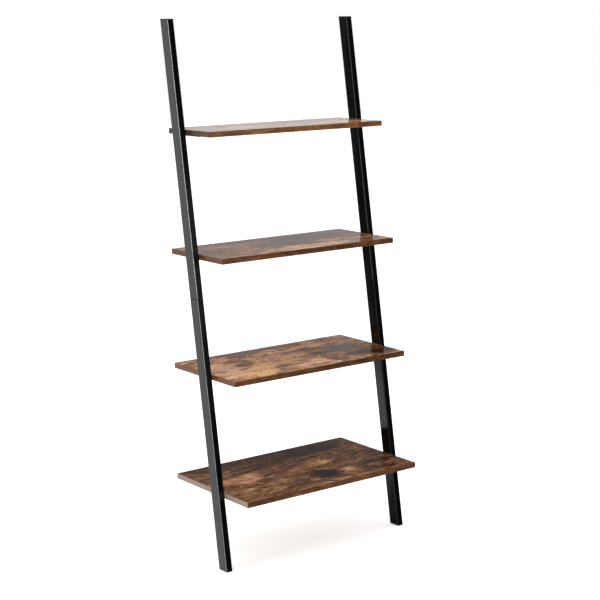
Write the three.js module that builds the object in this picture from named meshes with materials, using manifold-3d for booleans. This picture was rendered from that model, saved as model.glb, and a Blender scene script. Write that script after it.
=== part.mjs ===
// A leaning ladder shelf: two rectangular steel uprights that lean back against a wall,
// with four laminated boards between them, each one shallower than the one below.
//
// Millimetres. +X is to the right seen from the front, +Y points back to the wall, +Z is up.
// The origin is on the floor, under the middle of the shelf's overall box.

import * as THREE from 'three';
import { mergeVertices } from 'three/addons/utils/BufferGeometryUtils.js';
import Module from 'manifold-3d';

const wasm = await Module();
wasm.setup();

// ---------------------------------------------------------------- driving dimensions

const HEIGHT = 1500; // floor to the top of the caps
const SHELF_WIDTH = 600; // between the uprights
const LEAN = THREE.MathUtils.degToRad(8.9); // uprights to the vertical

const TUBE_WIDTH = 20; // along X
const TUBE_DEPTH = 38; // front to back, square to the tube
const TUBE_WALL = 1.2;
const TUBE_CORNER = 3; // outside corner radius
const LEAST_CORNER = 0.8; // radius that no inner corner goes under

const BOARD_THICKNESS = 15;
const BAND_THICKNESS = 1; // edge strip glued to each side of a board
const BOARDS = [
  { depth: 350, top: 215 },
  { depth: 300, top: 540 },
  { depth: 250, top: 867 },
  { depth: 200, top: 1203 },
];

const FIT = 0.25; // clearance between pieces that touch

// The joint between the lower and the upper tube of an upright
const SEAM_HEIGHT = 747; // along the tube, at its middle
const SEAM_SLANT = 16; // rise of the seam from the inner to the outer face
const SLEEVE_LENGTH = 160;
const SLEEVE_WALL = 1.5;
const SPLICE_SCREW_OFFSET = 40; // screw to the seam, along the tube

// Plastic plugs: a foot at the bottom and a cap at the top of each upright
const PLUG_FLANGE = 3;
const PLUG_INSERT = 22; // length inside the tube
const PLUG_WALL = 2;

// Brackets: the upright leg is welded to the tube, the plate carries the board
const BRACKET_THICKNESS = 2.5;
const BRACKET_BEND = 4; // outside radius of the bend
const BRACKET_DROP = 28; // height of the leg under the board
const BRACKET_LEG_WIDTH = 22;
const BRACKET_NECK = 10; // length of the leg's width before the plate widens
const BRACKET_REACH = 36; // how far the plate runs in under the board
const BRACKET_SPAN = 120; // front to back
const BRACKET_CORNER = 4;
const SCREW_SPACING = 92; // between the two screws of a bracket

// Screws: radius and length of the shank, radius and height of the head
const WOOD_SCREW = { shank: 2, length: 14, head: 4, height: 2.4 };
const SPLICE_SCREW = { shank: 2.4, length: 8, head: 4.75, height: 2.7 };
const SCREW_TIP = { radius: 0.4, length: 2 }; // blunt tip, as shares of the shank's radius
const HEAD_RIM = 0.35; // straight part of a head's side, as a share of its height
const HOLE_CLEARANCE = 0.3; // hole radius over shank radius
const DRILL_LENGTH = 12; // of the cylinder that cuts a hole, longer than the walls it goes through
const RECESS = { radius: 1.7, arm: 0.9, depth: 1.3 }; // cross slot of a wood screw
const HEX_SOCKET = { radius: 1.75, depth: 1.5, sides: 6 }; // socket of a splice screw

// Steps in a quarter circle of a corner, in a full circle, and in a screw head's dome
const CORNER_STEPS = 4;
const ROUND_STEPS = 12;
const DOME_STEPS = 3;
const MERGE_DISTANCE = 1e-4; // vertices closer than this are one

// ---------------------------------------------------------------- derived sizes

const OVERALL_DEPTH = BOARDS[0].depth;
const WALL_Y = OVERALL_DEPTH / 2; // the wall the shelf leans on
const LEVEL_DEPTH = TUBE_DEPTH / Math.cos(LEAN); // depth of a tube measured level
const UPRIGHT_X = SHELF_WIDTH / 2 + TUBE_WIDTH / 2;
const BOARD_LENGTH = SHELF_WIDTH - 2 * FIT;
const BRACKET_X = SHELF_WIDTH / 2 - FIT; // outer face of a bracket's leg
const SCREW_X = BRACKET_X - (BRACKET_NECK + BRACKET_REACH) / 2; // middle of a bracket's plate
const BEYOND = 2 * HEIGHT; // longer than anything it cuts

// Y of the middle of an upright at a height: its back edge meets the wall at the top
const uprightY = (height) => WALL_Y - LEVEL_DEPTH / 2 - (HEIGHT - height) * Math.tan(LEAN);

// ---------------------------------------------------------------- materials

const material = (color, roughness, metalness) =>
  new THREE.MeshStandardMaterial({ color, roughness, metalness });

const blackSteel = material(0x17171a, 0.38, 0.1);
const blackPlastic = material(0x101011, 0.5, 0);
const rusticWood = material(0x6b4a37, 0.35, 0);
const woodBand = material(0x573722, 0.4, 0);
const bareSteel = material(0x8d8f92, 0.4, 0.9);
const blackScrew = material(0x1d1d1f, 0.4, 0.6);

// ---------------------------------------------------------------- solids

function toSolid(geometry) {
  const bare = geometry.clone();
  bare.deleteAttribute('normal');
  bare.deleteAttribute('uv');
  const merged = mergeVertices(bare, MERGE_DISTANCE);
  const mesh = new wasm.Mesh({
    numProp: 3,
    vertProperties: new Float32Array(merged.attributes.position.array),
    triVerts: new Uint32Array(merged.index.array),
  });
  return new wasm.Manifold(mesh);
}

function toGeometry(solid) {
  const mesh = solid.getMesh();
  const geometry = new THREE.BufferGeometry();
  geometry.setAttribute('position', new THREE.BufferAttribute(mesh.vertProperties, 3));
  geometry.setIndex(new THREE.BufferAttribute(mesh.triVerts, 1));
  geometry.computeVertexNormals();
  return geometry;
}

const join = (...parts) => toGeometry(parts.map(toSolid).reduce((a, b) => a.add(b)));
const cut = (body, ...tools) =>
  toGeometry(tools.map(toSolid).reduce((a, b) => a.subtract(b), toSolid(body)));
const overlap = (a, b) => toGeometry(toSolid(a).intersect(toSolid(b)));

// A rectangle with round corners, centred, in the XY plane
function roundedRectangle(width, depth, radius) {
  const x = width / 2 - radius;
  const y = depth / 2 - radius;
  const quarter = Math.PI / 2;
  const outline = new THREE.Shape();
  outline.absarc(x, y, radius, 0, quarter);
  outline.absarc(-x, y, radius, quarter, 2 * quarter);
  outline.absarc(-x, -y, radius, 2 * quarter, 3 * quarter);
  outline.absarc(x, -y, radius, 3 * quarter, 4 * quarter);
  outline.closePath();
  return outline;
}

const prism = (outline, length) =>
  new THREE.ExtrudeGeometry(outline, { depth: length, bevelEnabled: false, curveSegments: CORNER_STEPS });

// The outline of a tube with its faces moved in by inset
const tubeOutline = (inset) =>
  roundedRectangle(
    TUBE_WIDTH - 2 * inset,
    TUBE_DEPTH - 2 * inset,
    Math.max(TUBE_CORNER - inset, LEAST_CORNER),
  );

// An outline as a bar along an upright, longer than the upright at both ends
function barAlongUpright(outline) {
  const length = HEIGHT / Math.cos(LEAN) + 2 * TUBE_DEPTH;
  return prism(outline, length).translate(0, 0, -TUBE_DEPTH);
}

function hollowOutline(inset, wall) {
  const outline = tubeOutline(inset);
  outline.holes.push(tubeOutline(inset + wall));
  return outline;
}

const cylinderAlongY = (radius, length) =>
  new THREE.CylinderGeometry(radius, radius, length, ROUND_STEPS);
const cylinderAlongZ = (radius, length) => cylinderAlongY(radius, length).rotateX(Math.PI / 2);

// ---------------------------------------------------------------- along an upright
// These solids are in the upright's own frame: z runs up the tube and the frame leans back.

// The space between two level heights
function levelSlab(low, high) {
  const slab = new THREE.BoxGeometry(BEYOND, BEYOND, high - low);
  return slab.translate(0, 0, (low + high) / 2).rotateX(LEAN);
}

// The space above or below the slanted seam; side is -1 for the left upright, 1 for the right
function seamHalf(side, above) {
  const half = new THREE.BoxGeometry(BEYOND, BEYOND, BEYOND);
  const direction = above ? 1 : -1;
  half.translate(0, 0, (direction * (BEYOND + FIT)) / 2);
  half.rotateY(-side * Math.atan2(SEAM_SLANT, TUBE_WIDTH));
  return half.translate(0, 0, SEAM_HEIGHT);
}

const spliceScrewHeight = (above) => SEAM_HEIGHT + (above ? 1 : -1) * SPLICE_SCREW_OFFSET;

// A hole through the back walls of the tube and the sleeve, above or below the seam
function spliceHole(above) {
  const hole = cylinderAlongY(SPLICE_SCREW.shank + HOLE_CLEARANCE, DRILL_LENGTH);
  return hole.translate(0, TUBE_DEPTH / 2, spliceScrewHeight(above));
}

function uprightTube(side, above) {
  const full = barAlongUpright(hollowOutline(0, TUBE_WALL));
  const levels = levelSlab(PLUG_FLANGE + FIT, HEIGHT - PLUG_FLANGE - FIT);
  const half = overlap(overlap(full, levels), seamHalf(side, above));
  return cut(half, spliceHole(above));
}

function spliceSleeve() {
  const tube = prism(hollowOutline(TUBE_WALL + FIT, SLEEVE_WALL), SLEEVE_LENGTH);
  tube.translate(0, 0, SEAM_HEIGHT - SLEEVE_LENGTH / 2);
  return cut(tube, spliceHole(true), spliceHole(false));
}

// A screw along +Z with the underside of its head at z = 0 and a low domed head above it
function screwBody({ shank, length, head, height }) {
  const rim = HEAD_RIM * height;
  const dome = new THREE.QuadraticBezierCurve(
    new THREE.Vector2(head, rim),
    new THREE.Vector2(head, height),
    new THREE.Vector2(0, height),
  );
  const profile = [
    new THREE.Vector2(0, -length),
    new THREE.Vector2(SCREW_TIP.radius * shank, -length),
    new THREE.Vector2(shank, -length + SCREW_TIP.length * shank),
    new THREE.Vector2(shank, 0),
    new THREE.Vector2(head, 0),
    ...dome.getPoints(DOME_STEPS),
  ];
  return new THREE.LatheGeometry(profile, ROUND_STEPS).rotateX(Math.PI / 2);
}

function spliceScrew() {
  const { radius, depth, sides } = HEX_SOCKET;
  const socket = new THREE.CylinderGeometry(radius, radius, 2 * depth, sides);
  socket.rotateX(Math.PI / 2).translate(0, 0, SPLICE_SCREW.height);
  return cut(screwBody(SPLICE_SCREW), socket);
}

// A plug with its flange on the outside of the tube's end; atTop is true for a cap
function plug(atTop) {
  const outside = barAlongUpright(tubeOutline(0));
  const inside = barAlongUpright(tubeOutline(TUBE_WALL + FIT));
  const pocket = barAlongUpright(tubeOutline(TUBE_WALL + FIT + PLUG_WALL));
  const end = atTop ? HEIGHT : 0;
  const inward = atTop ? -1 : 1;
  const slabInward = (from, to) => {
    const heights = [end + inward * from, end + inward * to].sort((a, b) => a - b);
    return levelSlab(...heights);
  };
  const flange = overlap(outside, slabInward(0, PLUG_FLANGE));
  const insert = overlap(inside, slabInward(PLUG_FLANGE / 2, PLUG_FLANGE + PLUG_INSERT));
  const hollow = overlap(pocket, slabInward(PLUG_FLANGE + PLUG_WALL, 2 * PLUG_INSERT));
  return cut(join(flange, insert), hollow);
}

// ---------------------------------------------------------------- boards and brackets

function boardScrewPlaces(board) {
  const y = uprightY(board.top - BOARD_THICKNESS);
  const places = [];
  for (const side of [-1, 1]) {
    for (const end of [-1, 1]) {
      places.push({ x: side * SCREW_X, y: y + (end * SCREW_SPACING) / 2, side, end });
    }
  }
  return places;
}

// The core of a board, centred on X and Y, with its underside at z = 0
function boardCore(board) {
  const length = BOARD_LENGTH - 2 * BAND_THICKNESS;
  const depth = board.depth - 2 * BAND_THICKNESS;
  const core = new THREE.BoxGeometry(length, depth, BOARD_THICKNESS);
  core.translate(0, 0, BOARD_THICKNESS / 2);
  const grip = WOOD_SCREW.length - BRACKET_THICKNESS + HOLE_CLEARANCE;
  const boardY = WALL_Y - board.depth / 2;
  const holes = boardScrewPlaces(board).map(({ x, y }) =>
    cylinderAlongZ(WOOD_SCREW.shank + HOLE_CLEARANCE, 2 * grip).translate(x, y - boardY, 0),
  );
  return cut(core, ...holes);
}

// A bracket in its own frame: x runs from the tube's face in under the board,
// and z = 0 is the underside of the board
function bracket() {
  const profile = new THREE.Shape();
  profile.moveTo(0, -BRACKET_DROP);
  profile.lineTo(0, -BRACKET_BEND);
  profile.absarc(BRACKET_BEND, -BRACKET_BEND, BRACKET_BEND, Math.PI, Math.PI / 2, true);
  profile.lineTo(BRACKET_NECK + BRACKET_CORNER, 0);
  profile.lineTo(BRACKET_NECK + BRACKET_CORNER, -BRACKET_THICKNESS);
  const innerRadius = BRACKET_BEND - BRACKET_THICKNESS;
  profile.absarc(BRACKET_BEND, -BRACKET_BEND, innerRadius, Math.PI / 2, Math.PI, false);
  profile.lineTo(BRACKET_THICKNESS, -BRACKET_DROP);
  profile.closePath();
  const leg = prism(profile, BRACKET_LEG_WIDTH);
  leg.rotateX(Math.PI / 2).translate(0, BRACKET_LEG_WIDTH / 2, 0);

  const reach = BRACKET_REACH - BRACKET_NECK;
  const plate = prism(roundedRectangle(reach, BRACKET_SPAN, BRACKET_CORNER), BRACKET_THICKNESS);
  plate.translate(BRACKET_NECK + reach / 2, 0, -BRACKET_THICKNESS);

  const holes = [-1, 1].map((end) =>
    cylinderAlongZ(WOOD_SCREW.shank + HOLE_CLEARANCE, DRILL_LENGTH)
      .translate(BRACKET_X - SCREW_X, (end * SCREW_SPACING) / 2, 0),
  );
  return cut(join(leg, plate), ...holes);
}

function woodScrew() {
  const { radius, arm, depth } = RECESS;
  const slot = () =>
    new THREE.BoxGeometry(2 * radius, arm, 2 * depth).translate(0, 0, WOOD_SCREW.height);
  return cut(screwBody(WOOD_SCREW), slot(), slot().rotateZ(Math.PI / 2));
}

// ---------------------------------------------------------------- assembly

const shelf = new THREE.Group();

function addMesh(parent, name, geometry, look) {
  const mesh = new THREE.Mesh(geometry, look);
  mesh.name = name;
  parent.add(mesh);
  return mesh;
}

const sideName = (side) => (side < 0 ? 'left' : 'right');
const rowName = (end) => (end < 0 ? 'front' : 'rear');

function addUpright(side) {
  const name = sideName(side);
  const upright = new THREE.Group();
  upright.position.set(side * UPRIGHT_X, uprightY(0), 0);
  upright.rotation.x = -LEAN;
  shelf.add(upright);

  addMesh(upright, `upright_lower_${name}`, uprightTube(side, false), blackSteel);
  addMesh(upright, `upright_upper_${name}`, uprightTube(side, true), blackSteel);
  addMesh(upright, `splice_sleeve_${name}`, spliceSleeve(), bareSteel);
  addMesh(upright, `foot_${name}`, plug(false), blackPlastic);
  addMesh(upright, `cap_${name}`, plug(true), blackPlastic);

  for (const above of [false, true]) {
    const level = above ? 'upper' : 'lower';
    const screw = addMesh(upright, `splice_screw_${level}_${name}`, spliceScrew(), blackScrew);
    screw.rotation.x = -Math.PI / 2;
    screw.position.set(0, TUBE_DEPTH / 2 + FIT, spliceScrewHeight(above));
  }
}

function addBoard(board) {
  const name = board.depth;
  const boardY = WALL_Y - board.depth / 2;
  const group = new THREE.Group();
  group.position.set(0, boardY, board.top - BOARD_THICKNESS);
  shelf.add(group);
  addMesh(group, `board_${name}`, boardCore(board), rusticWood);

  const long = new THREE.BoxGeometry(BOARD_LENGTH, BAND_THICKNESS, BOARD_THICKNESS);
  const inner = board.depth - 2 * BAND_THICKNESS;
  const short = new THREE.BoxGeometry(BAND_THICKNESS, inner, BOARD_THICKNESS);
  const z = BOARD_THICKNESS / 2;
  for (const end of [-1, 1]) {
    const strip = addMesh(group, `edge_${name}_${rowName(end)}`, long, woodBand);
    strip.position.set(0, (end * (board.depth - BAND_THICKNESS)) / 2, z);
  }
  for (const side of [-1, 1]) {
    const strip = addMesh(group, `edge_${name}_${sideName(side)}`, short, woodBand);
    strip.position.set((side * (BOARD_LENGTH - BAND_THICKNESS)) / 2, 0, z);
  }
}

function addBrackets(board) {
  const underside = board.top - BOARD_THICKNESS;
  for (const side of [-1, 1]) {
    const mesh = addMesh(shelf, `bracket_${board.depth}_${sideName(side)}`, bracket(), blackSteel);
    mesh.position.set(side * BRACKET_X, uprightY(underside), underside);
    mesh.rotation.z = side < 0 ? 0 : Math.PI;
  }
  for (const { x, y, side, end } of boardScrewPlaces(board)) {
    const name = `screw_${board.depth}_${sideName(side)}_${rowName(end)}`;
    const screw = addMesh(shelf, name, woodScrew(), bareSteel);
    screw.position.set(x, y, underside - BRACKET_THICKNESS);
    screw.rotation.x = Math.PI;
  }
}

for (const side of [-1, 1]) {
  addUpright(side);
}
for (const board of BOARDS) {
  addBoard(board);
  addBrackets(board);
}

export default shelf;
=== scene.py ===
import math

import bmesh
import bpy
from mathutils import Matrix, Vector


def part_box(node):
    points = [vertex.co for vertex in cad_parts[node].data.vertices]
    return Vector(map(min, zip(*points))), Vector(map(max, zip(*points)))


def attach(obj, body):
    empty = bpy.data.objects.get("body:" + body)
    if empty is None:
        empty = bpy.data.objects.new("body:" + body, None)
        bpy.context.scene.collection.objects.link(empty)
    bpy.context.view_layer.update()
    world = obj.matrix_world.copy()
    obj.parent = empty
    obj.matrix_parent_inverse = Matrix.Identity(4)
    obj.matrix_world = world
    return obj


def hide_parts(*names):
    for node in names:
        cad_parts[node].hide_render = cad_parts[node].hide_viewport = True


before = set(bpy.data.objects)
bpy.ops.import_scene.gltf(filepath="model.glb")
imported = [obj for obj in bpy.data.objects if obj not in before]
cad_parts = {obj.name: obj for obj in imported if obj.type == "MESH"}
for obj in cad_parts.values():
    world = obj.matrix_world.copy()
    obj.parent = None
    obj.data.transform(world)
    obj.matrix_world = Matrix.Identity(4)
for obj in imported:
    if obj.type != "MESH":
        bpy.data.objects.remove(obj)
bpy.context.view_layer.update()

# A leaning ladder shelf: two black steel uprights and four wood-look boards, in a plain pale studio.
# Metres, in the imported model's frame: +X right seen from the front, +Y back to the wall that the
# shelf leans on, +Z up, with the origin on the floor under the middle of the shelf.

MM = 0.001

# ---------------------------------------------------------------- sizes

LEAN = math.radians(8.9)
TUBE_WIDTH = 20 * MM
TUBE_DEPTH = 38 * MM
TUBE_WALL = 1.2 * MM
TUBE_CORNER = 3 * MM
LEAST_CORNER = 0.8 * MM
FIT = 0.25 * MM  # clearance between pieces that touch

SEAM_HEIGHT = 747 * MM  # along the tube, at its middle
SEAM_SLANT = 16 * MM  # rise of the seam from the inner to the outer face
SEAM_GAP = 0.9 * MM
SPLICE_SCREW_OFFSET = 40 * MM

PLUG_FLANGE = 3 * MM
PLUG_INSERT = 22 * MM
PLUG_WALL = 2 * MM

BAND_THICKNESS = 1 * MM

BRACKET_THICKNESS = 2.5 * MM
BRACKET_BEND = 4 * MM  # outside radius
BRACKET_DROP = 28 * MM
BRACKET_LEG_WIDTH = 22 * MM
BRACKET_NECK = 10 * MM
BRACKET_REACH = 36 * MM
BRACKET_SPAN = 120 * MM
BRACKET_CORNER = 4 * MM
SCREW_SPACING = 92 * MM
HOLE_RADIUS = 2.3 * MM
WELD = {"radius": 1.5 * MM, "rise": 1.1, "spread": 0.9, "ripple": 0.16 * MM, "ripples": 8,
        "above_end": 2.5 * MM, "below_bend": 1.5 * MM}

WOOD_SCREW = {"shank": 2 * MM, "length": 14 * MM, "head": 4 * MM, "height": 2.4 * MM}
SPLICE_SCREW = {"shank": 2.4 * MM, "length": 8 * MM, "head": 4.75 * MM, "height": 2.7 * MM}
CROSS_RECESS = {"radius": 1.9 * MM, "arm": 0.9 * MM, "depth": 1.3 * MM, "floor": 0.55, "mouth": 1.1}
HEX_SOCKET = {"radius": 1.75 * MM, "depth": 1.5 * MM}
RECESS_TURN = math.radians(37)

# Small roundings that catch the light
TUBE_EASE = 0.3 * MM  # end of a tube under a plug
SEAM_EASE = 1.4 * MM  # upper end of the lower tube, where the seam shows as a dark line
PLUG_EASE = 0.5 * MM
PANEL_EASE = 0.15 * MM
BAND_EASE = 0.3 * MM
PLATE_EASE = 0.35 * MM

CORNER_STEPS = 8
ROUND_STEPS = 32
DOME_STEPS = 9
WELD_STEPS = (34, 10)  # along a bead and round it
SLIVER = 0.005 * MM
SHARP_ANGLE = math.radians(38)

SIDES = {"left": -1, "right": 1}
DEPTHS = (350, 300, 250, 200)  # of the boards, in millimetres, as the nodes are named

# ---------------------------------------------------------------- shader graphs


class Graph:
    """Adds nodes to the shader tree of a material or of the world."""

    def __init__(self, owner):
        owner.use_nodes = True
        self.tree = owner.node_tree

    def node(self, kind, inputs=None, **settings):
        made = self.tree.nodes.new("ShaderNode" + kind)
        for key, value in settings.items():
            setattr(made, key, value)
        for key, value in (inputs or {}).items():
            self.put(value, made.inputs[key])
        return made

    def put(self, value, socket):
        if isinstance(value, bpy.types.NodeSocket):
            self.tree.links.new(value, socket)
        else:
            socket.default_value = value

    def math(self, operation, a, b=0.0, c=0.0, clamp=False):
        made = self.node("Math", {0: a, 1: b, 2: c}, operation=operation, use_clamp=clamp)
        return made.outputs[0]

    def vector(self, operation, a, b=(0, 0, 0)):
        return self.node("VectorMath", {0: a, 1: b}, operation=operation).outputs["Vector"]

    def noise(self, point, stretch, detail=3.0, roughness=0.5, output="Fac"):
        inputs = {"Vector": self.vector("MULTIPLY", point, stretch), "Scale": 1.0}
        inputs |= {"Detail": detail, "Roughness": roughness}
        return self.node("TexNoise", inputs).outputs[output]

    def smooth(self, value, low, high, to_low=0.0, to_high=1.0):
        inputs = {"Value": value, "From Min": low, "From Max": high}
        inputs |= {"To Min": to_low, "To Max": to_high}
        made = self.node("MapRange", inputs, interpolation_type="SMOOTHSTEP")
        return made.outputs["Result"]

    def ramp(self, value, stops):
        made = self.node("ValToRGB", {"Fac": value})
        elements = made.color_ramp.elements
        while len(elements) < len(stops):
            elements.new(0.5)
        for element, (position, colour) in zip(elements, stops):
            element.position = position
            element.color = (*colour, 1)
        return made.outputs["Color"]

    def mix(self, factor, a, b, blend="MIX"):
        made = self.node("Mix", data_type="RGBA", blend_type=blend)
        self.put(factor, made.inputs["Factor"])
        for value, socket in ((a, made.inputs[6]), (b, made.inputs[7])):
            self.put(value if isinstance(value, bpy.types.NodeSocket) else (*value, 1), socket)
        return made.outputs[2]


def new_material(name):
    material = bpy.data.materials.new(name)
    graph = Graph(material)
    return material, graph, graph.tree.nodes["Principled BSDF"]


def add_bump(graph, shader, height, strength, distance):
    bump = graph.node("Bump", {"Height": height, "Strength": strength, "Distance": distance})
    graph.put(bump.outputs["Normal"], shader.inputs["Normal"])


# ---------------------------------------------------------------- laminate

# Charcoal, dark brown, brown, tan and pale tan of the printed rustic wood
WOOD_RAMP = (
    (0.00, (0.006, 0.0045, 0.0045)),
    (0.22, (0.019, 0.0100, 0.0070)),
    (0.42, (0.056, 0.0250, 0.0120)),
    (0.58, (0.118, 0.0520, 0.0205)),
    (0.74, (0.236, 0.1240, 0.0540)),
    (0.88, (0.450, 0.2520, 0.1260)),
    (1.00, (0.680, 0.4300, 0.2500)),
)
TOP_TINTS = ((1.11, 0.98, 0.72), (0.99, 0.88, 1.02))  # golden and mauve
STRIP_TINTS = ((1.02, 0.92, 0.66), (1.00, 0.84, 0.72))  # brown and reddish brown
# A pale grey-beige painted sheen: the reflection on the short edge strips, painted into their colour
PAINTED_SHEEN_COLOUR = (0.27, 0.22, 0.195)

# The print on each board. tone lightens or darkens it all, and contrast spreads its tones. Spots
# lie at (x, distance from the rear edge) in millimetres, with half-sizes along and across the grain
# and how much lighter or darker the print is there. Char marks are patches of one colour, with a
# strength, and knots are (x, distance, radius). band and end_band are the tones of the long and the
# short edge strips. The number after end_band is how far the short strips fade to a pale painted
# sheen, the reflection they show painted into their colour.
PRINTS = {
    350: {
        "tone": 0.57,
        "contrast": 1.0,
        "band": 0.485,
        "end_band": 0.52,
        "end_painted_sheen": 0.55,
        "seed": 1.3,
        "char_and_sheen_colour": (0.0110, 0.0070, 0.0100),
        "spots": (
            (0, 30, 330, 86, -0.20),
            (-50, 20, 110, 30, 0.10),
            (-40, 165, 290, 62, 0.10),
            (-190, 168, 100, 50, 0.30),
            (80, 172, 66, 34, 0.17),
            (-200, 250, 160, 60, 0.12),
            (60, 222, 110, 24, 0.12),
            (126, 280, 36, 46, 0.26),
            (-60, 320, 70, 30, -0.14),
            (180, 325, 90, 40, -0.12),
            (40, 338, 300, 18, 0.08),
        ),
        "char_and_sheen": (
            (36, 278, 92, 54, 1.0),
            (36, 248, 40, 36, 0.8),
            (196, 258, 60, 34, 0.7),
            (130, 60, 140, 50, 0.70),
        ),
        "knots": ((-120, 186, 18), (-92, 168, 12)),
    },
    300: {
        "tone": 0.78,
        "contrast": 1.1,
        "band": 0.475,
        "end_band": 0.51,
        "end_painted_sheen": 0.0,
        "seed": 4.1,
        "char_and_sheen_colour": (0.1350, 0.0900, 0.0880),
        "spots": (
            (-200, 236, 150, 66, 0.22),
            (-250, 150, 70, 90, 0.26),
            (-110, 196, 70, 70, 0.14),
            (20, 246, 90, 42, 0.22),
            (140, 50, 80, 46, 0.05),
            (180, 20, 100, 34, -0.12),
            (-40, 130, 150, 60, 0.14),
            (-165, 150, 60, 40, -0.14),
            (-158, 108, 32, 46, -0.20),
            (-170, 70, 50, 26, 0.14),
            (-110, 74, 50, 26, -0.14),
            (96, 160, 62, 84, -0.12),
            (40, 34, 80, 26, -0.14),
            (-50, 94, 26, 14, -0.26),
            (-60, 228, 84, 14, -0.20),
            (86, 272, 44, 24, -0.26),
            (200, 250, 80, 70, -0.24),
            (262, 236, 96, 84, -0.30),
        ),
        "char_and_sheen": ((-80, 26, 130, 48, 0.9), (190, 148, 116, 84, 0.95), (250, 60, 80, 40, 0.6)),
        "knots": ((-185, 190, 16), (-264, 190, 22)),
    },
    250: {
        "tone": 0.68,
        "contrast": 0.75,
        "band": 0.49,
        "end_band": 0.45,
        "end_painted_sheen": 0.0,
        "seed": 7.7,
        "char_and_sheen_colour": (0.1100, 0.0800, 0.0820),
        "spots": (
            (20, 218, 260, 40, 0.26),
            (-150, 60, 130, 50, 0.08),
            (110, 70, 200, 50, -0.18),
            (30, 146, 110, 44, -0.12),
            (-81, 125, 30, 16, -0.26),
            (-245, 135, 60, 44, -0.16),
            (190, 160, 110, 40, 0.14),
            (0, 10, 340, 56, -0.16),
        ),
        "char_and_sheen": ((40, 120, 80, 30, 0.5), (180, 30, 150, 50, 0.8)),
        "knots": ((-81, 125, 15), (150, 190, 11)),
    },
    200: {
        "tone": 0.63,
        "contrast": 0.75,
        "band": 0.59,
        "end_band": 0.36,
        "end_painted_sheen": 0.0,
        "seed": 11.2,
        "char_and_sheen_colour": (0.0900, 0.0700, 0.0720),
        "spots": (
            (-160, 120, 150, 46, 0.18),
            (60, 60, 120, 34, -0.18),
            (170, 130, 110, 40, 0.16),
            (-20, 170, 280, 30, 0.12),
            (240, 160, 70, 70, 0.14),
        ),
        "char_and_sheen": ((-60, 50, 90, 30, 0.7), (220, 60, 70, 26, 0.5)),
        "knots": ((-190, 90, 15), (96, 128, 13)),
    },
}


# Noise in the print, along the grain and in torn blotches: its stretch, detail and roughness, and
# how much it swings the tone
GRAIN_NOISE = {
    "broad": ((2.6, 34, 1), 3.0, 0.55, 0.36),
    "medium": ((14, 130, 1), 4.0, 0.65, 0.60),
    "fine": ((45, 900, 1), 2.0, 0.5, 0.24),
}
TORN_NOISE = {
    "blotch": ((16, 34, 1), 6.0, 0.72, 0.88),
    "mottle": ((75, 55, 1), 3.0, 0.65, 0.84),
}
LAMINATE_ROUGHNESS = 0.15
STRIP_ROUGHNESS = 0.30
STRIP_CONTRAST = 0.52


def wander(graph, point, stretch, reach, detail):
    """How far the print is pushed aside at a point."""
    colour = graph.noise(point, stretch, detail, 0.55, "Color")
    return graph.vector("MULTIPLY", graph.vector("SUBTRACT", colour, (0.5, 0.5, 0.5)), reach)


def spot(graph, where, seed, x, distance, half_x, half_y):
    """1 at the middle of a spot, falling to 0 at its edge."""
    place = graph.node("Mapping", {
        "Vector": where,
        "Location": (x * MM, -distance * MM, seed),
        "Scale": (half_x * MM, half_y * MM, 1),
    }, vector_type="TEXTURE").outputs[0]
    ball = graph.node("TexGradient", {"Vector": place}, gradient_type="SPHERICAL")
    return ball.outputs["Fac"]


def knot(graph, grain, torn, tone, seed, x, distance, radius):
    """The grain bent round a knot, and the tone with the knot's dark heart and a few rings."""
    near = spot(graph, grain, seed, x, distance, 3.4 * radius, 2.2 * radius)
    offset = graph.vector("SUBTRACT", grain, (x * MM, -distance * MM, seed))
    pull = graph.node("VectorMath", {0: offset, "Scale": graph.math("MULTIPLY", near, -0.85)},
                      operation="SCALE").outputs["Vector"]
    grain = graph.vector("ADD", grain, graph.vector("MULTIPLY", pull, (0.3, 1, 0)))
    heart = spot(graph, torn, seed, x, distance, 1.5 * radius, radius)
    rings = graph.math("MULTIPLY", graph.math("SINE", graph.math("MULTIPLY", near, 34)), near)
    tone = graph.math("MULTIPLY_ADD", rings, 0.09, tone)
    tone = graph.math("MULTIPLY_ADD", graph.smooth(heart, 0.1, 0.8), -0.26, tone)
    return grain, tone


def thin_cracks(graph, grain, torn):
    """Thin cracks and scratches along the grain, in the worn places only."""
    lines = graph.smooth(graph.noise(grain, (16, 420, 1), 2.0, 0.5), 0.64, 0.72)
    worn = graph.smooth(graph.noise(torn, (8, 18, 1), 1.0), 0.42, 0.62)
    return graph.math("MULTIPLY", lines, worn)


def wood_colour(graph, tone, medium, torn, design):
    """The tone as a colour of the ramp, in two tints, with the char marks broken by the grain. A mark
    can also be a painted sheen, a reflection painted into the colour.
    """
    hue = graph.smooth(graph.noise(torn, (11, 26, 1), 4.0, 0.6), 0.36, 0.62)
    tint = graph.mix(hue, *design["tints"])
    colour = graph.mix(1.0, graph.ramp(tone, WOOD_RAMP), tint, "MULTIPLY")
    broken = graph.smooth(medium, 0.24, 0.52, 0.55, 1.0)
    # Char marks of the print, and a painted sheen where a strip's design gives one
    for *place, amount in design["char_and_sheen"]:
        mark = spot(graph, torn, design["seed"], *place)
        patch = graph.smooth(mark, 0.16, 0.62, 0.0, amount)
        colour = graph.mix(graph.math("MULTIPLY", patch, broken), colour, design["char_and_sheen_colour"])
    return colour


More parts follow.
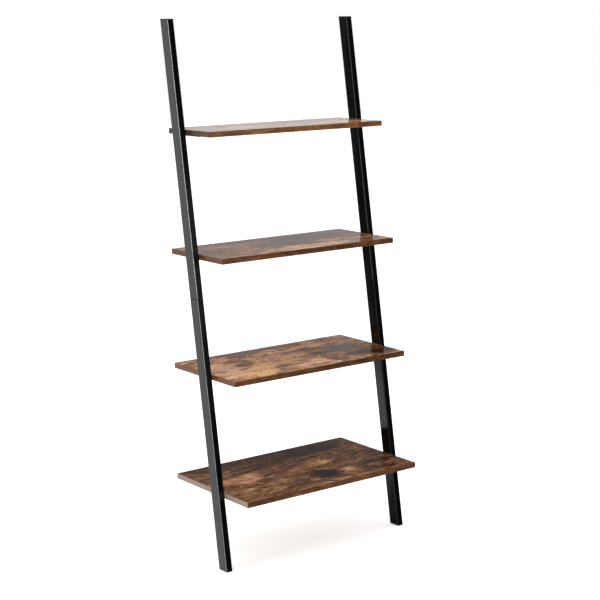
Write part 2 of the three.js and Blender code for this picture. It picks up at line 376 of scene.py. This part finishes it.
def wood(name, along, across, origin, design, roughness):
    """A laminate printed with rustic wood. along and across are 0, 1 or 2 for X, Y or Z, and origin
    is the point on those two axes that the design's spots are measured from."""
    material, graph, shader = new_material(name)
    seed = design["seed"]
    axes = graph.node("SeparateXYZ", {0: graph.node("TexCoord").outputs["Object"]}).outputs
    point = graph.node("CombineXYZ", {
        0: graph.math("SUBTRACT", axes[along], origin[0]),
        1: graph.math("SUBTRACT", axes[across], origin[1]),
        2: seed,
    }).outputs[0]
    slow = wander(graph, point, (5, 12, 1), (0.150, 0.060, 0), 2.0)
    quick = wander(graph, point, (26, 70, 1), (0.060, 0.018, 0), 3.0)
    torn = graph.vector("ADD", graph.vector("ADD", point, slow), quick)
    grain = graph.vector("ADD", point, graph.vector("MULTIPLY", slow, (0.4, 0.45, 0)))

    tone = design["tone"]
    for place in design["knots"]:
        grain, tone = knot(graph, grain, torn, tone, seed, *place)
    layers = {}
    for where, noises in ((grain, GRAIN_NOISE), (torn, TORN_NOISE)):
        for key, (stretch, detail, coarseness, amount) in noises.items():
            layers[key] = graph.noise(where, stretch, detail, coarseness)
            swing = graph.math("SUBTRACT", layers[key], 0.5)
            tone = graph.math("MULTIPLY_ADD", swing, amount * design["contrast"], tone)
    for *place, amount in design["spots"]:
        patch = graph.smooth(spot(graph, torn, seed, *place), 0.0, 0.75)
        tone = graph.math("MULTIPLY_ADD", patch, amount, tone)
    crack = thin_cracks(graph, grain, torn)
    tone = graph.math("MULTIPLY_ADD", crack, -0.20, tone)

    medium = layers["medium"]
    graph.put(wood_colour(graph, tone, medium, torn, design), shader.inputs["Base Color"])
    graph.put(graph.smooth(medium, 0.2, 0.8, roughness - 0.03, roughness + 0.05),
              shader.inputs["Roughness"])
    relief = graph.math("MULTIPLY_ADD", crack, -1.5, layers["fine"])
    add_bump(graph, shader, relief, 0.12, 0.04 * MM)
    return material


# ---------------------------------------------------------------- steel and plastic


def powder_coat(name, colour, roughness):
    """A satin black coat, faintly uneven, with the fine orange peel that the coating leaves. On the
    round corners, where hands and boards rub it, it is duller and a little lighter."""
    material, graph, shader = new_material(name)
    point = graph.node("TexCoord").outputs["Object"]
    cloud = graph.noise(point, (34, 34, 9), 3.0)
    peel = graph.noise(point, (950, 950, 950), 1.0)
    facing_side = graph.math("ABSOLUTE", graph.node("SeparateXYZ", {
        0: graph.node("NewGeometry").outputs["Normal"]}).outputs["X"])
    corner = graph.math("MULTIPLY", graph.smooth(facing_side, 0.10, 0.45),
                        graph.smooth(facing_side, 0.70, 0.99, 1, 0))
    patches = graph.smooth(graph.noise(point, (140, 140, 22), 4.0, 0.65), 0.60, 0.80)
    rubbed = graph.math("MULTIPLY_ADD", corner, 0.5, patches, clamp=True)
    coat = graph.mix(graph.smooth(cloud, 0.3, 0.7), colour, [1.35 * c for c in colour])
    graph.put(graph.mix(graph.math("MULTIPLY", rubbed, 0.25), coat, (0.012, 0.0115, 0.011)),
              shader.inputs["Base Color"])
    level = graph.smooth(cloud, 0.25, 0.75, roughness - 0.015, roughness + 0.03)
    level = graph.math("MULTIPLY_ADD", patches, 0.05, level)
    graph.put(graph.math("MULTIPLY_ADD", corner, 0.24, level), shader.inputs["Roughness"])
    add_bump(graph, shader, peel, 0.035, 0.02 * MM)
    return material


def moulded_plastic(name):
    """Black plastic with a fine spark-eroded texture."""
    material, graph, shader = new_material(name)
    point = graph.node("TexCoord").outputs["Object"]
    grit = graph.noise(point, (1600, 1600, 1600), 2.0, 0.7)
    scuff = graph.smooth(graph.noise(point, (120, 120, 120), 4.0, 0.7), 0.52, 0.78)
    graph.put(graph.mix(scuff, (0.008, 0.008, 0.0085), (0.020, 0.020, 0.020)),
              shader.inputs["Base Color"])
    graph.put(graph.smooth(scuff, 0.0, 1.0, 0.42, 0.58), shader.inputs["Roughness"])
    add_bump(graph, shader, grit, 0.25, 0.05 * MM)
    return material


def plated_steel(name, colour, roughness, metallic):
    """Turned and plated steel with faint cloudy staining."""
    material, graph, shader = new_material(name)
    point = graph.node("TexCoord").outputs["Object"]
    stain = graph.noise(point, (420, 420, 420), 4.0, 0.65)
    scratch = graph.noise(point, (3000, 260, 900), 2.0)
    graph.put(graph.mix(graph.smooth(stain, 0.3, 0.75), colour, [0.72 * c for c in colour]),
              shader.inputs["Base Color"])
    shader.inputs["Metallic"].default_value = metallic
    graph.put(graph.smooth(stain, 0.2, 0.8, roughness - 0.06, roughness + 0.1),
              shader.inputs["Roughness"])
    add_bump(graph, shader, scratch, 0.12, 0.03 * MM)
    return material


BLACK_STEEL = powder_coat("black_steel", (0.0018, 0.0018, 0.0020), 0.10)
BLACK_PLASTIC = moulded_plastic("black_plastic")
ZINC_STEEL = plated_steel("zinc_steel", (0.50, 0.50, 0.53), 0.34, 1.0)
MILL_STEEL = plated_steel("mill_steel", (0.055, 0.055, 0.060), 0.55, 1.0)
BLACK_OXIDE = plated_steel("black_oxide", (0.022, 0.022, 0.024), 0.36, 0.6)

# ---------------------------------------------------------------- mesh helpers


def add_piece(name, mesh, material, slot, *nodes, place=None):
    """Shows a mesh in place of CAD nodes. The piece rides on the shelf's one body."""
    piece = bpy.data.objects.new(name, mesh)
    bpy.context.scene.collection.objects.link(piece)
    if place is not None:
        piece.matrix_world = place
    if not mesh.materials:
        mesh.materials.append(material)
    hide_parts(*nodes)
    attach(piece, "root")
    return piece


def shade(mesh):
    mesh.polygons.foreach_set("use_smooth", [True] * len(mesh.polygons))
    mesh.set_sharp_from_angle(angle=SHARP_ANGLE)
    return mesh


def mesh_from(bm, name):
    bmesh.ops.recalc_face_normals(bm, faces=bm.faces)
    mesh = bpy.data.meshes.new(name)
    bm.to_mesh(mesh)
    bm.free()
    return shade(mesh)


def skin_between(bm, low, high):
    """Faces between two loops of the same number of points."""
    for i in range(len(low)):
        j = (i + 1) % len(low)
        bm.faces.new((low[i], low[j], high[j], high[i]))


def loft(name, rings, capped):
    """A closed skin through rings of points. Capped, its ends are filled; otherwise the last ring
    joins the first, as round the wall of a tube."""
    bm = bmesh.new()
    loops = [[bm.verts.new(point) for point in ring] for ring in rings]
    pairs = list(zip(loops, loops[1:]))
    if capped:
        bm.faces.new(loops[0])
        bm.faces.new(loops[-1])
    else:
        pairs.append((loops[-1], loops[0]))
    for pair in pairs:
        skin_between(bm, *pair)
    return mesh_from(bm, name)


def weigh_normals(piece):
    """Keeps the flats flat beside their rounded corners."""
    modifier = piece.modifiers.new("flat_faces", "WEIGHTED_NORMAL")
    modifier.keep_sharp = True


def eased_slab(name, low, high, ease):
    """A slab between two corners, with all its edges rounded a little."""
    bm = bmesh.new()
    rings = []
    for z in (low.z, high.z):
        corners = ((low.x, low.y), (high.x, low.y), (high.x, high.y), (low.x, high.y))
        rings.append([bm.verts.new((x, y, z)) for x, y in corners])
    skin_between(bm, *rings)
    for end in rings:
        bm.faces.new(end)
    bmesh.ops.recalc_face_normals(bm, faces=bm.faces)
    bmesh.ops.bevel(bm, geom=bm.edges[:], offset=ease, segments=3, profile=0.5, affect="EDGES")
    return mesh_from(bm, name)


# ---------------------------------------------------------------- uprights


def tube_outline(inset):
    """Points round a rectangle with round corners, the tube's section with its faces moved in."""
    radius = max(TUBE_CORNER - inset, LEAST_CORNER)
    x = TUBE_WIDTH / 2 - inset - radius
    y = TUBE_DEPTH / 2 - inset - radius
    points = []
    for quarter, (sign_x, sign_y) in enumerate(((1, 1), (-1, 1), (-1, -1), (1, -1))):
        for step in range(CORNER_STEPS + 1):
            angle = math.pi / 2 * (quarter + step / CORNER_STEPS)
            points.append((sign_x * x + radius * math.cos(angle),
                           sign_y * y + radius * math.sin(angle)))
    return points


def level_cut(height):
    """How far along a tube a level plane at that height cuts it, for a point of its section."""
    return lambda x, y: (height + y * math.sin(LEAN)) / math.cos(LEAN)


def seam_cut(side, above):
    half_gap = SEAM_GAP / 2 / math.cos(math.atan2(SEAM_SLANT, TUBE_WIDTH))
    shift = half_gap if above else -half_gap
    return lambda x, y: SEAM_HEIGHT + shift + side * x * SEAM_SLANT / TUBE_WIDTH


def ring(place, inset, cut, offset=0.0):
    """A section of the upright, at a cut and moved along the tube by an offset."""
    return [place @ Vector((x, y, cut(x, y) + offset)) for x, y in tube_outline(inset)]


def tube(name, place, low, high, low_ease, high_ease):
    """A hollow tube between two cuts, with its outer edges eased."""
    rings = [
        ring(place, low_ease, low),
        ring(place, 0.3 * low_ease, low, 0.3 * low_ease),
        ring(place, 0, low, low_ease),
        ring(place, 0, high, -high_ease),
        ring(place, 0.3 * high_ease, high, -0.3 * high_ease),
        ring(place, high_ease, high),
        ring(place, TUBE_WALL, high),
        ring(place, TUBE_WALL, low),
    ]
    return loft(name, rings, capped=False)


def plug(name, place, end, inward):
    """A plug whose flange covers a tube's end, at a level height; inward is 1 up or -1 down."""
    ease = PLUG_EASE
    inside = TUBE_WALL + FIT
    steps = (
        (ease, 0),
        (0.13 * ease, 0.5 * ease),
        (0, ease),
        (0, PLUG_FLANGE - 0.6 * ease),
        (0.3 * ease, PLUG_FLANGE),
        (inside, PLUG_FLANGE),
        (inside, PLUG_FLANGE + PLUG_INSERT - ease),
        (inside + ease, PLUG_FLANGE + PLUG_INSERT),
        (inside + PLUG_WALL, PLUG_FLANGE + PLUG_INSERT),
        (inside + PLUG_WALL, PLUG_FLANGE + PLUG_WALL),
    )
    rings = [ring(place, inset, level_cut(end + inward * depth)) for inset, depth in steps]
    return loft(name, rings, capped=True)


def carve(name, mesh, tool, height):
    """The mesh with a tool's shape taken out of it, the tool standing at that height."""
    body = bpy.data.objects.new(name, mesh)
    cutter = bpy.data.objects.new(name + "_recess", tool)
    for piece in (body, cutter):
        bpy.context.scene.collection.objects.link(piece)
    cutter.location.z = height
    boolean = body.modifiers.new("recess", "BOOLEAN")
    boolean.object = cutter
    boolean.operation = "DIFFERENCE"
    boolean.solver = "EXACT"
    bpy.context.view_layer.update()
    finished = bpy.data.meshes.new_from_object(
        body.evaluated_get(bpy.context.evaluated_depsgraph_get()))
    bpy.data.objects.remove(body)
    bpy.data.objects.remove(cutter)
    finished.name = name
    finished.materials.clear()
    # The cut can leave a sliver, so points that all but touch are joined
    bm = bmesh.new()
    bm.from_mesh(finished)
    bmesh.ops.remove_doubles(bm, verts=bm.verts, dist=SLIVER)
    bmesh.ops.dissolve_degenerate(bm, edges=bm.edges, dist=SLIVER)
    bm.to_mesh(finished)
    bm.free()
    return shade(finished)


def screw_mesh(name, sizes, recess):
    """A screw along Z with the underside of its head at z = 0 and a low domed head above it."""
    shank, length, head, height = (sizes[key] for key in ("shank", "length", "head", "height"))
    profile = [(0.35 * shank, -length), (shank, -length + 2 * shank), (shank, 0), (head, 0)]
    rim = 0.35 * height
    for step in range(DOME_STEPS):
        angle = math.pi / 2 * step / DOME_STEPS
        profile.append((head * math.cos(angle) ** 0.8, rim + (height - rim) * math.sin(angle)))
    rings = []
    for radius, z in profile:
        turns = [2 * math.pi * i / ROUND_STEPS for i in range(ROUND_STEPS)]
        rings.append([Vector((radius * math.cos(a), radius * math.sin(a), z)) for a in turns])
    return carve(name, loft(name, rings, capped=True), recess, height)


def cross_recess():
    radius, arm, depth = (CROSS_RECESS[key] for key in ("radius", "arm", "depth"))
    half = arm / 2
    corners = [(radius, -half), (radius, half), (half, half)]
    points = []
    for quarter in range(4):
        turn = Matrix.Rotation(quarter * math.pi / 2, 2)
        points += [turn @ Vector(corner) for corner in corners]
    rings = [[Vector((scale * p.x, scale * p.y, z)) for p in points]
             for scale, z in ((CROSS_RECESS["floor"], -depth), (CROSS_RECESS["mouth"], depth))]
    return loft("cross_recess", rings, capped=True)


def hex_socket():
    radius, depth = HEX_SOCKET["radius"], HEX_SOCKET["depth"]
    turns = [math.pi / 3 * i for i in range(6)]
    rings = [[Vector((radius * math.cos(a), radius * math.sin(a), z)) for a in turns]
             for z in (-depth, depth)]
    return loft("hex_socket", rings, capped=True)


def build_upright(side_name, side, splice_screw):
    foot_low, foot_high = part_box(f"foot_{side_name}")
    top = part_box(f"cap_{side_name}")[1].z
    level_depth = TUBE_DEPTH / math.cos(LEAN)
    place = (Matrix.Translation(((foot_low.x + foot_high.x) / 2, foot_low.y + level_depth / 2, 0))
             @ Matrix.Rotation(-LEAN, 4, "X"))
    under = level_cut(PLUG_FLANGE + FIT)
    over = level_cut(top - PLUG_FLANGE - FIT)
    tubes = (("lower", under, seam_cut(side, False), TUBE_EASE, SEAM_EASE),
             ("upper", seam_cut(side, True), over, TUBE_EASE, TUBE_EASE))
    for level, *ends in tubes:
        name = f"tube_{level}_{side_name}"
        piece = add_piece(name, tube(name, place, *ends), BLACK_STEEL, "upright_steel",
                          f"upright_{level}_{side_name}")
        weigh_normals(piece)
    for kind, end, inward in (("foot", 0.0, 1), ("cap", top, -1)):
        name = f"plug_{kind}_{side_name}"
        piece = add_piece(name, plug(name, place, end, inward), BLACK_PLASTIC, "black_plastic",
                          f"{kind}_{side_name}")
        weigh_normals(piece)
    for level, direction in (("lower", -1), ("upper", 1)):
        along = SEAM_HEIGHT + direction * SPLICE_SCREW_OFFSET
        seat = (place @ Matrix.Translation((0, TUBE_DEPTH / 2 + FIT, along))
                @ Matrix.Rotation(-math.pi / 2, 4, "X"))
        add_piece(f"bolt_{level}_{side_name}", splice_screw, BLACK_OXIDE, "black_screw",
                  f"splice_screw_{level}_{side_name}", place=seat)
    # The sleeve keeps its CAD mesh
    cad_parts[f"splice_sleeve_{side_name}"].data.materials[0] = MILL_STEEL


# ---------------------------------------------------------------- boards


def strip_materials(depth, underside):
    """The wood of a board's long and short edge strips, underside being the board's lowest height."""
    design = PRINTS[depth]
    plain = design | {"contrast": STRIP_CONTRAST, "tints": STRIP_TINTS, "spots": (), "char_and_sheen": (),
                      "knots": ()}
    long_design = plain | {"tone": design["band"], "seed": design["seed"] + 20}
    # A painted sheen: an even pale cast over the short strips, the reflection they show painted into
    # their colour, carried as one more mark
    painted_sheen = (0, -underside / MM, 2 * depth, 2 * depth, design["end_painted_sheen"])
    short_design = plain | {"tone": design["end_band"], "seed": design["seed"] + 25,
                            "char_and_sheen": (painted_sheen,), "char_and_sheen_colour": PAINTED_SHEEN_COLOUR}
    return (wood(f"band_long_{depth}", 0, 2, (0, 0), long_design, STRIP_ROUGHNESS),
            wood(f"band_short_{depth}", 1, 2, (0, 0), short_design, STRIP_ROUGHNESS))


def build_board(depth):
    low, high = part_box(f"board_{depth}")
    rear = high.y + BAND_THICKNESS
    top = wood(f"laminate_{depth}", 0, 1, (0, rear), PRINTS[depth] | {"tints": TOP_TINTS},
               LAMINATE_ROUGHNESS)
    panel = add_piece(f"panel_{depth}", eased_slab(f"panel_{depth}", low, high, PANEL_EASE), top,
                      "rustic_wood", f"board_{depth}")
    weigh_normals(panel)
    long_band, short_band = strip_materials(depth, low.z)
    for edge, material in (("front", long_band), ("rear", long_band),
                           ("left", short_band), ("right", short_band)):
        name = f"band_{depth}_{edge}"
        mesh = eased_slab(name, *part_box(f"edge_{depth}_{edge}"), BAND_EASE)
        weigh_normals(add_piece(name, mesh, material, "wood_band", f"edge_{depth}_{edge}"))


# ---------------------------------------------------------------- brackets


def plate_outline():
    """Points round a bracket's plate, from one side of its neck round to the other."""
    half_leg = BRACKET_LEG_WIDTH / 2
    half_span = BRACKET_SPAN / 2
    corner = BRACKET_CORNER
    outline = [(BRACKET_BEND, -half_leg), (BRACKET_NECK, -half_leg)]
    centres = ((BRACKET_NECK + corner, -half_span + corner, 2),
               (BRACKET_REACH - corner, -half_span + corner, 3),
               (BRACKET_REACH - corner, half_span - corner, 0),
               (BRACKET_NECK + corner, half_span - corner, 1))
    for x, y, quarter in centres:
        for step in range(CORNER_STEPS + 1):
            angle = math.pi / 2 * (quarter + step / CORNER_STEPS)
            outline.append((x + corner * math.cos(angle), y + corner * math.sin(angle)))
    return outline + [(BRACKET_NECK, half_leg), (BRACKET_BEND, half_leg)]


def screw_hole(end):
    """Points round the hole of a bracket's plate towards that end, -1 or 1."""
    middle = (BRACKET_NECK + BRACKET_REACH) / 2
    turns = [2 * math.pi * i / ROUND_STEPS for i in range(ROUND_STEPS)]
    return [(middle + HOLE_RADIUS * math.cos(turn),
             end * SCREW_SPACING / 2 + HOLE_RADIUS * math.sin(turn)) for turn in turns]


def level_loop(bm, points):
    """The points at z = 0, and the edges that join them in a closed loop."""
    verts = [bm.verts.new((x, y, 0)) for x, y in points]
    return verts, [bm.edges.new(pair) for pair in zip(verts, verts[1:] + verts[:1])]


def bracket_blank(name):
    """A bracket as one folded sheet: x runs in under the board, z = 0 is the board's underside."""
    bm = bmesh.new()
    half_leg = BRACKET_LEG_WIDTH / 2
    verts, edges = level_loop(bm, plate_outline())
    for end in (-1, 1):
        edges += level_loop(bm, screw_hole(end))[1]
    bmesh.ops.triangle_fill(bm, use_beauty=True, edges=edges, normal=(0, 0, 1))

    # The bend and the leg hang from the neck's edge
    row = (verts[0], verts[-1])
    path = []
    for step in range(1, CORNER_STEPS + 1):
        angle = math.pi / 2 * step / CORNER_STEPS
        path.append((BRACKET_BEND * (1 - math.sin(angle)), BRACKET_BEND * (math.cos(angle) - 1)))
    path.append((0, -BRACKET_DROP))
    for x, z in path:
        lower = (bm.verts.new((x, -half_leg, z)), bm.verts.new((x, half_leg, z)))
        bm.faces.new((row[0], row[1], lower[1], lower[0]))
        row = lower
    bmesh.ops.recalc_face_normals(bm, faces=bm.faces)
    # Outside is the top of the plate and the face of the leg that is welded to the upright
    plate = next(face for face in bm.faces if abs(face.normal.z) > 0.9)
    if plate.normal.z < 0:
        bmesh.ops.reverse_faces(bm, faces=bm.faces)
    mesh = bpy.data.meshes.new(name)
    bm.to_mesh(mesh)
    bm.free()
    return mesh


def weld_section(side, share):
    """A half-round section of a bead beside a bracket's leg, at that share of the bead's length."""
    low = WELD["above_end"] - BRACKET_DROP
    high = -BRACKET_BEND - WELD["below_bend"]
    swell = min(1, 5 * math.sqrt(max(share * (1 - share), 0.002)))
    wave = math.sin(2 * math.pi * WELD["ripples"] * share + side)
    size = WELD["radius"] * swell + WELD["ripple"] * wave
    angles = [math.pi * step / WELD_STEPS[1] for step in range(WELD_STEPS[1] + 1)]
    return [(WELD["rise"] * size * math.sin(angle) - FIT,
             side * (BRACKET_LEG_WIDTH / 2 + WELD["spread"] * size * math.cos(angle)),
             low + (high - low) * share) for angle in angles]


def weld_bead(name, turn):
    """Two ripply beads that join the sides of a bracket's leg to the upright."""
    bm = bmesh.new()
    for side in (-1, 1):
        rows = []
        for i in range(WELD_STEPS[0] + 1):
            points = weld_section(side, i / WELD_STEPS[0])
            rows.append([bm.verts.new(point) for point in points])
        for pair in zip(rows, rows[1:]):
            skin_between(bm, *pair)
        bm.faces.new(rows[0])
        bm.faces.new(rows[-1])
    bmesh.ops.transform(bm, matrix=turn, verts=bm.verts)
    return mesh_from(bm, name)


def add_angle(tag, turn, place):
    mesh = bracket_blank(f"angle_{tag}")
    mesh.transform(turn)
    piece = add_piece(f"angle_{tag}", mesh, BLACK_STEEL, "upright_steel", f"bracket_{tag}",
                      place=place)
    solid = piece.modifiers.new("sheet", "SOLIDIFY")
    solid.thickness = BRACKET_THICKNESS
    solid.offset = -1
    solid.use_even_offset = True
    edge = piece.modifiers.new("edges", "BEVEL")
    edge.width = PLATE_EASE
    edge.segments = 3
    edge.limit_method = "ANGLE"
    edge.angle_limit = SHARP_ANGLE
    weigh_normals(piece)
    shade(mesh)


def add_weld(tag, turn, place):
    """The welds stand for no CAD node, so they replace none."""
    weld = bpy.data.objects.new(f"weld_{tag}", weld_bead(f"weld_{tag}", turn))
    bpy.context.scene.collection.objects.link(weld)
    weld.matrix_world = place
    weld.data.materials.append(BLACK_STEEL)
    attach(weld, "root")


def add_fixing(tag, turn, wood_screw):
    """A wood screw, pointing up, with its recess left at its own angle as a driver leaves it."""
    node = f"screw_{tag}"
    low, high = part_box(node)
    head = low.z + WOOD_SCREW["height"]
    seat = (Matrix.Translation(((low.x + high.x) / 2, (low.y + high.y) / 2, head))
            @ Matrix.Rotation(turn, 4, "Z") @ Matrix.Rotation(math.pi, 4, "X"))
    add_piece(f"fixing_{tag}", wood_screw, ZINC_STEEL, "bare_steel", node, place=seat)


def build_brackets(depth, wood_screw):
    for side_name, side in SIDES.items():
        tag = f"{depth}_{side_name}"
        low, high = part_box(f"bracket_{tag}")
        turn = Matrix.Rotation(0 if side < 0 else math.pi, 4, "Z")
        outer = low.x if side < 0 else high.x
        place = Matrix.Translation((outer, (low.y + high.y) / 2, high.z))
        add_angle(tag, turn, place)
        add_weld(tag, turn, place)
        for end in ("front", "rear"):
            # A turn that differs from screw to screw
            turns = len(f"screw_{tag}_{end}") + depth + ord(end[0])
            add_fixing(f"{tag}_{end}", RECESS_TURN * turns, wood_screw)


# ---------------------------------------------------------------- studio


def build_floor():
    size = 14.0
    bm = bmesh.new()
    bmesh.ops.create_grid(bm, x_segments=2, y_segments=2, size=size)
    floor = bpy.data.objects.new("floor", mesh_from(bm, "floor"))
    bpy.context.scene.collection.objects.link(floor)
    material, graph, shader = new_material("pale_floor")
    cloud = graph.noise(graph.node("TexCoord").outputs["Object"], (3, 3, 3), 3.0)
    graph.put(graph.mix(cloud, (0.82, 0.82, 0.82), (0.85, 0.85, 0.85)), shader.inputs["Base Color"])
    shader.inputs["Roughness"].default_value = 0.9
    shader.inputs["Emission Color"].default_value = (1, 1, 1, 1)
    shader.inputs["Emission Strength"].default_value = 0.42
    floor.data.materials.append(material)
    floor.visible_glossy = False


# What the shelf mirrors. Azimuths are in degrees, 0 behind the shelf and negative to its left, and
# rises are sines of the angle above the horizon. Each pair is the start and end of a soft edge.
SWEEP_EDGES = ((-37.9, -35.5), (85, 102.19))
CARD_EDGES = ((-62, -56), (-36.7, 0))
CARD_RISES = ((-0.305, -0.285), (-0.232, -0.216))
CARD_LEVEL = 0.78
LEFT_WALL_END = (-88, -66)
FRONT_WALL_START = (152, 174)
WALL_LEVEL = 0.40
DARK_LEVEL = 0.012
DOORWAY_START = (141, 144)
DOORWAY_RISES = ((-0.03, 0.02), (0.145, 0.16))
DOORWAY_FADE = {"low": 0.02, "high": 0.115, "to_low": 0.08, "to_high": 0.32}
OVERHEAD_FADE = {"low": 0.62, "high": 0.85, "to_low": 0.0, "to_high": 0.9}
SOFT_FADE = {"low": -0.2, "high": 0.9, "to_low": 0.80, "to_high": 1.30}
# The sweep's brightness at each rise
SWEEP_GLOW = ((-1.0, 1.22), (0.0, 1.22), (0.05, 1.1), (0.078, 0.90), (0.115, 0.52), (0.156, 0.325),
              (0.228, 0.165), (0.30, 0.085), (0.60, 0.15))


def between(graph, value, edges, level=1.0):
    """The level between two soft edges, and 0 outside them."""
    rise, fall = edges
    return graph.math("MULTIPLY", graph.smooth(value, *rise), graph.smooth(value, *fall, level, 0))


def mirrored_studio(graph, azimuth, rise):
    """A white sweep behind the shelf and a card beside it, grey walls to the left and in front, a
    doorway, and light overhead. The rest is dark. azimuth is in degrees."""
    card = graph.math("MULTIPLY", between(graph, azimuth, CARD_EDGES),
                      between(graph, rise, CARD_RISES, CARD_LEVEL))
    bright = graph.math("MAXIMUM", between(graph, azimuth, SWEEP_EDGES), card)
    # A ramp holds 0 to 1, so it is given halves and its output is doubled
    height = graph.math("MULTIPLY_ADD", rise, 0.5, 0.5)
    glow = graph.ramp(height, [(0.5 + 0.5 * level, (value / 2,) * 3) for level, value in SWEEP_GLOW])
    shine = graph.math("MULTIPLY", graph.math("MULTIPLY", bright, 2.0), glow)
    left_wall = graph.smooth(azimuth, *LEFT_WALL_END, 1, 0)
    front_wall = graph.smooth(azimuth, *FRONT_WALL_START)
    walls = graph.math("MULTIPLY_ADD", graph.math("MAXIMUM", left_wall, front_wall), WALL_LEVEL,
                       DARK_LEVEL)
    shine = graph.math("ADD", graph.math("MAXIMUM", shine, walls),
                       graph.smooth(rise, **OVERHEAD_FADE))
    doorway = graph.math("MULTIPLY", graph.smooth(azimuth, *DOORWAY_START),
                         between(graph, rise, DOORWAY_RISES))
    doorway = graph.math("MULTIPLY", doorway, graph.smooth(rise, **DOORWAY_FADE))
    return graph.math("MAXIMUM", shine, doorway)


def build_world():
    """White to the eye, even soft light for matt surfaces, and a studio for shiny ones to mirror."""
    world = bpy.data.worlds.new("studio")
    bpy.context.scene.world = world
    graph = Graph(world)
    direction = graph.node("TexCoord").outputs["Generated"]
    x, y, z = graph.node("SeparateXYZ", {0: direction}).outputs
    azimuth = graph.math("DEGREES", graph.math("ARCTAN2", x, y))
    path = graph.node("LightPath").outputs
    level = graph.mix(path["Is Diffuse Ray"], mirrored_studio(graph, azimuth, z),
                      graph.smooth(z, **SOFT_FADE))
    level = graph.mix(path["Is Camera Ray"], level, (1.0, 1.0, 1.0))
    graph.put(level, graph.tree.nodes["Background"].inputs["Color"])


def add_light(name, place, target, size, radiance, diffuse=True, glossy=True, only=None):
    """A rectangular area light. With only, it lights that one object and no other."""
    light = bpy.data.lights.new(name, "AREA")
    light.shape = "RECTANGLE"
    light.size, light.size_y = size
    light.energy = radiance * math.pi * size[0] * size[1]
    lamp = bpy.data.objects.new(name, light)
    bpy.context.scene.collection.objects.link(lamp)
    lamp.location = place
    lamp.rotation_euler = (Vector(target) - Vector(place)).to_track_quat("-Z", "Y").to_euler()
    lamp.visible_camera = False
    lamp.visible_diffuse = diffuse
    lamp.visible_glossy = glossy
    if only is not None:
        lit = bpy.data.collections.new(name + "_lights")
        lit.objects.link(only)
        lamp.light_linking.receiver_collection = lit


def add_soft_lights():
    add_light("left_softbox", place=(-2.2, -0.1, 0.55), target=(0, 0, 0.5), size=(0.45, 1.1),
              radiance=11.0, glossy=False)
    add_light("overhead", place=(-0.5, 0.0, 3.6), target=(0, 0, 0.7), size=(2.2, 2.2),
              radiance=3.2, glossy=False)


def add_corner_lights():
    """Tall strips in one place to the front left. Each lights one tube only, and draws the thin bright
    line down its round corner. No flat side of a tube throws them back to a viewer who stands square
    or diagonal to the shelf."""
    azimuth = math.radians(-67.5)
    distance = 2.2
    middle = Vector((-0.31, 0, 0.9))
    place = middle + distance * Vector((math.sin(azimuth), -math.cos(azimuth), 0))
    size = (0.46, 3.0)
    for tube_name, radiance in (("lower_left", 50), ("upper_left", 78), ("upper_right", 9)):
        add_light(f"strip_{tube_name}", place, middle, size, radiance, diffuse=False,
                  only=bpy.data.objects[f"tube_{tube_name}"])


def build_camera():
    """From the front left and a little above, as a photographer stands."""
    place = (-2.5888, -3.4388, 1.5236)
    yaw, pitch, roll = (math.radians(angle) for angle in (37.147, 10.049, -0.585))
    camera = bpy.data.cameras.new("camera")
    camera.sensor_width = 36
    camera.lens = 92.59
    camera.shift_y = -0.03
    eye = bpy.data.objects.new("camera", camera)
    bpy.context.scene.collection.objects.link(eye)
    forward = Vector((math.sin(yaw) * math.cos(pitch), math.cos(yaw) * math.cos(pitch),
                      -math.sin(pitch)))
    level_right = Vector((math.cos(yaw), -math.sin(yaw), 0))
    level_up = level_right.cross(forward)
    right = level_right * math.cos(roll) + level_up * math.sin(roll)
    up = level_up * math.cos(roll) - level_right * math.sin(roll)
    turn = Matrix((right, up, -forward)).transposed().to_4x4()
    eye.matrix_world = Matrix.Translation(place) @ turn
    bpy.context.scene.camera = eye


# ---------------------------------------------------------------- the scene

build_camera()
build_floor()
build_world()
add_soft_lights()
bpy.context.scene.view_settings.view_transform = "Standard"

SPLICE_SCREW_MESH = screw_mesh("splice_screw", SPLICE_SCREW, hex_socket())
WOOD_SCREW_MESH = screw_mesh("wood_screw", WOOD_SCREW, cross_recess())
for side_name, side in SIDES.items():
    build_upright(side_name, side, SPLICE_SCREW_MESH)
for depth in DEPTHS:
    build_board(depth)
    build_brackets(depth, WOOD_SCREW_MESH)
add_corner_lights()
